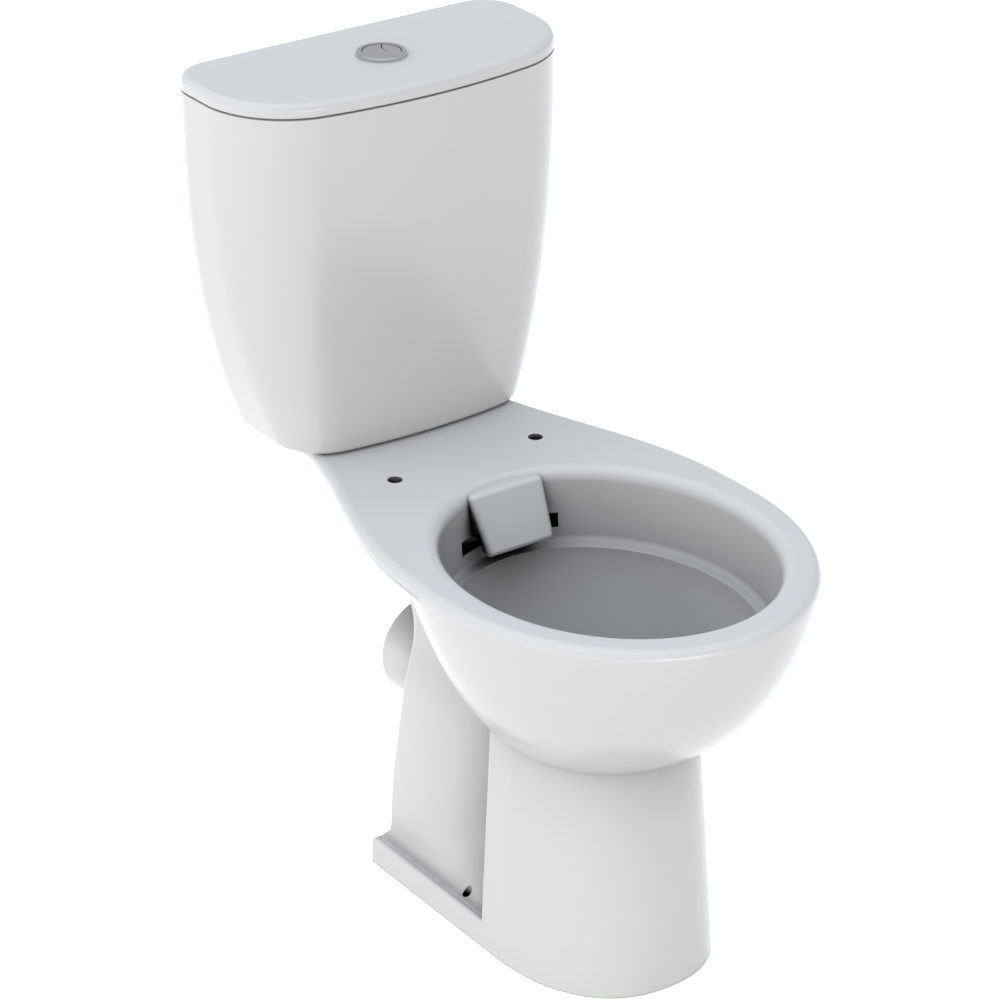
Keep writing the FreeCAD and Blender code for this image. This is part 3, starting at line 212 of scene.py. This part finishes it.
class ShaderTree:
    """A material's or world's node tree. node() adds any node from its type, settings and inputs."""

    def __init__(self, owner):
        owner.use_nodes = True
        self.tree = owner.node_tree
        self.tree.nodes.clear()

    def node(self, kind, settings, inputs, output=0):
        made = self.tree.nodes.new(kind)
        for name, value in settings.items():
            if name == "stops":
                self._stops(made.color_ramp, value)
            else:
                setattr(made, name, value)
        for name, value in inputs.items():
            socket = made.inputs[name]
            if isinstance(value, Channel):
                self.tree.links.new(value.socket, socket)
            elif socket.type == "RGBA" and len(value) == 3:
                socket.default_value = (*value, 1.0)
            else:
                socket.default_value = value
        return Channel(self, made.outputs[output]) if made.outputs else made

    @staticmethod
    def _stops(ramp, stops):
        while len(ramp.elements) < len(stops):
            ramp.elements.new(1.0)
        for element, (place, shade) in zip(ramp.elements, stops):
            element.position = place
            element.color = (shade, shade, shade, 1.0)

    def mix(self, first, second, share):
        """Colour first turning into colour second as share goes from 0 to 1."""
        return self.node("ShaderNodeMix", {"data_type": "RGBA"}, {0: share, 6: first, 7: second}, 2)

    def position(self):
        return self.node("ShaderNodeTexCoord", {}, {}, "Object")

    def noise(self, scale, detail=2.0, roughness=0.5, stretch=(1.0, 1.0, 1.0)):
        """Noise over the object, squeezed along an axis by a stretch above 1."""
        place = self.position() * stretch
        return self.node("ShaderNodeTexNoise", {},
                         {"Vector": place, "Scale": scale, "Detail": detail, "Roughness": roughness})

    def ramp(self, value, stops):
        return self.node("ShaderNodeValToRGB", {"stops": stops}, {0: value})

    def between(self, value, low, high, to_low=0.0, to_high=1.0):
        """value, moved from the range low..high to the range to_low..to_high and held inside it."""
        return self.node("ShaderNodeMapRange", {"clamp": True},
                         {0: value, 1: low, 2: high, 3: to_low, 4: to_high})

    def bump(self, height, strength, distance):
        return self.node("ShaderNodeBump", {}, {"Height": height, "Strength": strength, "Distance": distance})

    def closeness(self, distance):
        """How much of the half sphere over the surface its own piece blocks within a distance."""
        return 1 - self.node("ShaderNodeAmbientOcclusion", {"samples": OCCLUSION_SAMPLES, "only_local": True},
                             {"Distance": distance}, "AO")

    def scaled(self, colour, factor):
        """A colour times a number that varies over the surface."""
        return self.node("ShaderNodeVectorMath", {"operation": "SCALE"}, {0: colour, "Scale": factor})

    def surface(self, inputs):
        """A Principled surface with these inputs."""
        return self.node("ShaderNodeBsdfPrincipled", {}, inputs)

    def output(self, shader, kind="ShaderNodeOutputMaterial"):
        self.node(kind, {}, {"Surface": shader})


def new_material(name):
    material = bpy.data.materials.new(name)
    return material, ShaderTree(material)


def white_glaze(glaze):
    """Vitreous china: a glossy, faintly wavy glaze with painted shade in its hollows and inner corners, and
    bare clay under the foot.
    """
    material, tree = new_material("white_glaze")
    bare = tree.position().axis("Z") < glaze.bare_height
    drift = tree.between(tree.noise(scale=2.6, detail=3.0), low=0.35, high=0.65, to_low=0.985, to_high=1.012)
    colour = tree.mix(tree.scaled(tuple(glaze.colour), drift), tuple(glaze.bare_colour), bare)
    facing = tree.node("ShaderNodeTexCoord", {}, {}, "Normal")
    upright = tree.between(facing.axis("Z"), low=-0.6, high=-0.1, to_low=0.1, to_high=1.0)
    # Painted shade: the glaze colour is darkened where the piece's own surface closes over it, in wide hollows
    # and near inner corners, less on faces turned down.
    painted_shade = (glaze.hollow_shade * tree.closeness(WIDE_HOLLOW)
              + glaze.corner_shade * tree.closeness(NEAR_CORNER))
    colour = tree.scaled(colour, 1 - upright * painted_shade)
    smear = tree.between(tree.noise(scale=9.0, detail=4.0, roughness=0.6), low=0.3, high=0.7,
                         to_low=glaze.roughness * 0.85, to_high=glaze.roughness * 1.2)
    wave = tree.noise(scale=26.0, detail=1.0) + tree.noise(scale=170.0, detail=1.0) * 0.12
    tree.output(tree.surface({"Base Color": colour, "Roughness": smear + bare * 0.6, "IOR": GLAZE_IOR,
                              "Normal": tree.bump(wave, glaze.ripple, GLAZE_WAVE)}))
    return material


def satin_chrome(fittings):
    """Plated push button: brushed along one way, so it shines softly."""
    material, tree = new_material("satin_chrome")
    brush = tree.noise(scale=420.0, stretch=(1.0, 14.0, 1.0))
    darker = tuple(c * 0.90 for c in fittings.chrome)
    brighter = tuple(min(1.0, c * 1.08) for c in fittings.chrome)
    tree.output(tree.surface({"Base Color": tree.mix(darker, brighter, brush), "Metallic": 1.0,
                              "Roughness": tree.between(brush, 0.3, 0.7, to_low=0.26, to_high=0.36),
                              "Normal": tree.bump(brush, 0.06, FINE_GRAIN)}))
    return material


def moulded_plastic(name, colour, roughness):
    """Injection moulded plastic with a fine matt grain."""
    material, tree = new_material(name)
    speckle = tree.noise(scale=900.0)
    cloud = tree.between(tree.noise(scale=14.0), 0.3, 0.7, to_low=0.94, to_high=1.04)
    tree.output(tree.surface({"Base Color": tree.scaled(tuple(colour), cloud), "IOR": PLASTIC_IOR,
                              "Roughness": tree.between(speckle, 0.3, 0.7, roughness * 0.9, roughness * 1.1),
                              "Normal": tree.bump(speckle, 0.10, FINE_GRAIN)}))
    return material


def soft_rubber(name, colour, roughness):
    """Moulded rubber or silicone: dull, with a trace of bloom."""
    material, tree = new_material(name)
    bloom = tree.between(tree.noise(scale=60.0, detail=4.0, roughness=0.65), low=0.45, high=0.75)
    paler = tuple(min(1.0, c * 1.5 + 0.012) for c in colour)
    tree.output(tree.surface({"Base Color": tree.mix(tuple(colour), paler, bloom),
                              "Roughness": roughness + bloom * 0.12,
                              "Normal": tree.bump(tree.noise(scale=700.0), 0.12, FINE_GRAIN)}))
    return material


def plain_steel(fittings):
    """Stainless bolts, pins and springs, with fine drawing marks."""
    material, tree = new_material("plain_steel")
    marks = tree.noise(scale=500.0, stretch=(8.0, 8.0, 1.0))
    darker = tuple(c * 0.78 for c in fittings.steel)
    tree.output(tree.surface({"Base Color": tree.mix(darker, tuple(fittings.steel), marks), "Metallic": 1.0,
                              "Roughness": tree.between(marks, 0.3, 0.7, to_low=0.28, to_high=0.44)}))
    return material


def paint(names, material):
    """Gives these pieces one material."""
    for name in names:
        mesh = nodes[name].data
        mesh.materials.clear()
        mesh.materials.append(material)


# ---------------------------------------------------------------- meshes
def add_object(name, mesh, material, body):
    """A new smooth piece in the scene that moves with a body."""
    piece = bpy.data.objects.new(name, mesh)
    bpy.context.scene.collection.objects.link(piece)
    mesh.materials.append(material)
    for face in mesh.polygons:
        face.use_smooth = True
    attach(piece, body)


def thread_mesh(name, x, y, low, high, radius, depth, pitch):
    """A screw thread: a sleeve whose radius rises and falls along a helix."""
    around = POINTS_AROUND_THREAD
    rows = int((high - low) / pitch * ROWS_PER_TURN)
    mesh = bpy.data.meshes.new(name)
    shape = bmesh.new()
    rings = []
    for row in range(rows + 1):
        z = low + (high - low) * row / rows
        ring = []
        for k in range(around):
            angle = 2 * math.pi * k / around
            phase = (z / pitch - k / around) % 1.0
            crest = 1 - abs(2 * phase - 1)
            fade = min(1.0, (z - low) / pitch, (high - z) / pitch)
            r = radius + depth * crest * max(fade, 0.0)
            ring.append(shape.verts.new((x + r * math.cos(angle), y + r * math.sin(angle), z)))
        rings.append(ring)
    for lower, upper in zip(rings, rings[1:]):
        for k in range(around):
            after = (k + 1) % around
            shape.faces.new((lower[k], lower[after], upper[after], upper[k]))
    shape.to_mesh(mesh)
    shape.free()
    return mesh


# ---------------------------------------------------------------- operators
class TOILET_OT_glaze(Operator):
    """Glaze the pan, the cistern and its lid"""
    bl_idname = "toilet.glaze"
    bl_label = "Glaze the china"

    def execute(self, context):
        paint(GLAZED, white_glaze(context.scene.toilet_glaze))
        return {"FINISHED"}


class TOILET_OT_buttons(Operator):
    """Plate the push button and its bezel"""
    bl_idname = "toilet.buttons"
    bl_label = "Plate the push button"

    def execute(self, context):
        paint(CHROMED, satin_chrome(context.scene.toilet_fittings))
        return {"FINISHED"}


class TOILET_OT_valves(Operator):
    """Colour the plastic pieces of the flush valve and the fill valve"""
    bl_idname = "toilet.valves"
    bl_label = "Colour the valves"

    def execute(self, context):
        fittings = context.scene.toilet_fittings
        paint(WHITE_MOULDED, moulded_plastic("white_plastic", fittings.white_plastic, 0.42))
        paint(GREY_MOULDED, moulded_plastic("grey_plastic", fittings.grey_plastic, 0.48))
        paint(FLOATS, moulded_plastic("float_plastic", fittings.float_plastic, 0.40))
        paint(TUBES, moulded_plastic("tube_plastic", fittings.tube_plastic, 0.36))
        return {"FINISHED"}


class TOILET_OT_seals(Operator):
    """Colour the gasket, washers and seals"""
    bl_idname = "toilet.seals"
    bl_label = "Colour the seals"

    def execute(self, context):
        fittings = context.scene.toilet_fittings
        paint(RUBBER, soft_rubber("dark_rubber", fittings.rubber, 0.62))
        paint(SILICONE, soft_rubber("red_silicone", fittings.silicone, 0.46))
        return {"FINISHED"}


class TOILET_OT_metal(Operator):
    """Finish the bolts, washers, pins and springs"""
    bl_idname = "toilet.metal"
    bl_label = "Finish the small metal parts"

    def execute(self, context):
        paint(STEEL, plain_steel(context.scene.toilet_fittings))
        return {"FINISHED"}


class TOILET_OT_threads(Operator):
    """Cut threads on the coupling bolts and on the fill valve's tail"""
    bl_idname = "toilet.threads"
    bl_label = "Cut the threads"

    def execute(self, context):
        fittings = context.scene.toilet_fittings
        steel = bpy.data.materials["plain_steel"]
        plastic = bpy.data.materials["white_plastic"]
        bolt_low, bolt_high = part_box("coupling_bolts")
        nut_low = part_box("wing_nuts")[0]
        bolt_y = (bolt_low.y + bolt_high.y) / 2
        bolt_x = bolt_high.x - (bolt_high.y - bolt_low.y) / 2
        for side in (-1, 1):
            mesh = thread_mesh("bolt_thread", side * bolt_x, bolt_y, bolt_low.z + BOLT_POINT,
                               nut_low.z - NUT_GAP, BOLT_RADIUS, fittings.thread_depth, fittings.bolt_pitch)
            add_object("bolt_thread_" + ("right" if side > 0 else "left"), mesh, steel, ROOT_BODY)
        tail_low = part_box("fill_valve_body")[0]
        backnut_low, backnut_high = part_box("fill_valve_backnut")
        centre = (backnut_low + backnut_high) / 2
        mesh = thread_mesh("tail_thread", centre.x, centre.y, tail_low.z + TAIL_POINT,
                           backnut_low.z - TAIL_NECK, TAIL_RADIUS, fittings.thread_depth, fittings.tail_pitch)
        add_object("tail_thread", mesh, plastic, ROOT_BODY)
        return {"FINISHED"}


class TOILET_OT_stage(Operator):
    """Set up the floor, the soft lights and the camera"""
    bl_idname = "toilet.stage"
    bl_label = "Set the stage"

    def execute(self, context):
        stage = context.scene.toilet_stage
        pale_floor(stage)
        soft_sky(context.scene, stage)
        front_light(stage)
        aim_camera(context.scene, stage)
        return {"FINISHED"}


def seen_by(tree, *eyes):
    """1 for a ray of one of these kinds, 0 for a ray that lights other things."""
    seen = tree.node("ShaderNodeLightPath", {}, {}, f"Is {eyes[0]} Ray")
    for eye in eyes[1:]:
        ray = tree.node("ShaderNodeLightPath", {}, {}, f"Is {eye} Ray")
        seen = tree.node("ShaderNodeMath", {"operation": "MAXIMUM"}, {0: seen, 1: ray})
    return seen


def pale_floor(stage):
    """A wide floor that looks white and keeps a faint shadow."""
    mesh = bpy.data.meshes.new("floor")
    shape = bmesh.new()
    bmesh.ops.create_grid(shape, x_segments=1, y_segments=1, size=FLOOR_HALF_SIZE)
    shape.to_mesh(mesh)
    shape.free()
    floor = bpy.data.objects.new("floor", mesh)
    floor.location.z = -FLOOR_DROP
    bpy.context.scene.collection.objects.link(floor)
    material, tree = new_material("floor_white")
    plain = tree.node("ShaderNodeBsdfDiffuse", {}, {"Color": tuple(stage.floor_colour)})
    glow = tree.node("ShaderNodeEmission", {}, {"Color": PURE_WHITE, "Strength": stage.floor_glow})
    shown = tree.node("ShaderNodeAddShader", {}, {0: plain, 1: glow})
    seen = seen_by(tree, "Camera", "Glossy", "Transmission")
    tree.output(tree.node("ShaderNodeMixShader", {}, {0: seen, 1: plain, 2: shown}))
    mesh.materials.append(material)
    return floor


def soft_sky(scene, stage):
    """Light from all round, brighter on the left and overhead; mirrors see a studio, the camera white."""
    world = bpy.data.worlds.new("sky")
    scene.world = world
    tree = ShaderTree(world)
    toward = tree.node("ShaderNodeTexCoord", {}, {}, "Generated")
    up = tree.between(toward.axis("Z"), 0.0, 1.0)
    left = tree.between(toward.axis("X"), 0.0, -1.0)
    colour = tree.mix(HORIZON_TINT, ZENITH_TINT, up ** 2.0)
    strength = stage.sky + up ** 2.0 * stage.overhead + left ** 2.0 * stage.side
    light = tree.node("ShaderNodeBackground", {}, {"Color": colour, "Strength": strength})
    mirrored = tree.node("ShaderNodeBackground", {}, {"Color": tree.ramp(up, MIRRORED_STUDIO),
                                                      "Strength": 1.0 + up ** 3.0 * MIRRORED_OVERHEAD})
    white = tree.node("ShaderNodeBackground", {}, {"Color": PURE_WHITE, "Strength": 1.0})
    shown = tree.node("ShaderNodeMixShader", {}, {0: seen_by(tree, "Glossy"), 1: light, 2: mirrored})
    seen = seen_by(tree, "Camera", "Transmission")
    tree.output(tree.node("ShaderNodeMixShader", {}, {0: seen, 1: shown, 2: white}), "ShaderNodeOutputWorld")


def front_light(stage):
    """A low, wide and soft light in front of the bowl."""
    lamp = bpy.data.lights.new("front_light", "AREA")
    lamp.shape = "RECTANGLE"
    lamp.size = FRONT_LIGHT_WIDTH
    lamp.size_y = FRONT_LIGHT_HEIGHT
    lamp.energy = stage.fill
    lamp.color = FRONT_LIGHT_TINT
    holder = bpy.data.objects.new("front_light", lamp)
    holder.location = FRONT_LIGHT_PLACE
    toward = Vector(FRONT_LIGHT_AIM) - Vector(FRONT_LIGHT_PLACE)
    holder.rotation_mode = "QUATERNION"
    holder.rotation_quaternion = toward.to_track_quat("-Z", "Y")
    bpy.context.scene.collection.objects.link(holder)


def aim_camera(scene, stage):
    """The camera, set by its turn, its height and its distance from the target."""
    azimuth = math.radians(stage.azimuth)
    elevation = math.radians(stage.elevation)
    back = Vector((math.sin(azimuth) * math.cos(elevation), -math.cos(azimuth) * math.cos(elevation),
                   math.sin(elevation)))
    lens = bpy.data.cameras.new("camera")
    lens.lens = stage.lens
    lens.sensor_width = SENSOR_WIDTH
    lens.clip_start = 0.1
    lens.clip_end = 60.0
    camera = bpy.data.objects.new("camera", lens)
    camera.location = Vector(stage.target) + back * stage.distance
    camera.rotation_mode = "QUATERNION"
    camera.rotation_quaternion = (-back).to_track_quat("-Z", "Y")
    scene.collection.objects.link(camera)
    scene.camera = camera
    scene.view_settings.view_transform = "Standard"


# ---------------------------------------------------------------- panel and registration
OPERATORS = (TOILET_OT_glaze, TOILET_OT_buttons, TOILET_OT_valves, TOILET_OT_seals, TOILET_OT_metal,
             TOILET_OT_threads, TOILET_OT_stage)


class TOILET_PT_panel(Panel):
    """Lists the toilet's sizes, colours and steps"""
    bl_label = "Toilet"
    bl_idname = "TOILET_PT_panel"
    bl_space_type = "VIEW_3D"
    bl_region_type = "UI"
    bl_category = "Toilet"

    def draw(self, context):
        scene = context.scene
        for group in (scene.toilet_glaze, scene.toilet_fittings, scene.toilet_stage):
            box = self.layout.box()
            for name in group.bl_rna.properties.keys():
                if name not in {"rna_type", "name"}:
                    box.prop(group, name)
        for operator in OPERATORS:
            self.layout.operator(operator.bl_idname)


GROUPS = {"toilet_glaze": ToiletGlaze, "toilet_fittings": ToiletFittings, "toilet_stage": ToiletStage}
CLASSES = (*GROUPS.values(), *OPERATORS, TOILET_PT_panel)


def register():
    for made in CLASSES:
        bpy.utils.register_class(made)
    for name, group in GROUPS.items():
        setattr(bpy.types.Scene, name, PointerProperty(type=group))


def unregister():
    for name in GROUPS:
        delattr(bpy.types.Scene, name)
    for made in reversed(CLASSES):
        bpy.utils.unregister_class(made)


def main():
    register()
    for operator in OPERATORS:
        family, step = operator.bl_idname.split(".")
        getattr(getattr(bpy.ops, family), step)()


if __name__ == "__main__":
    main()
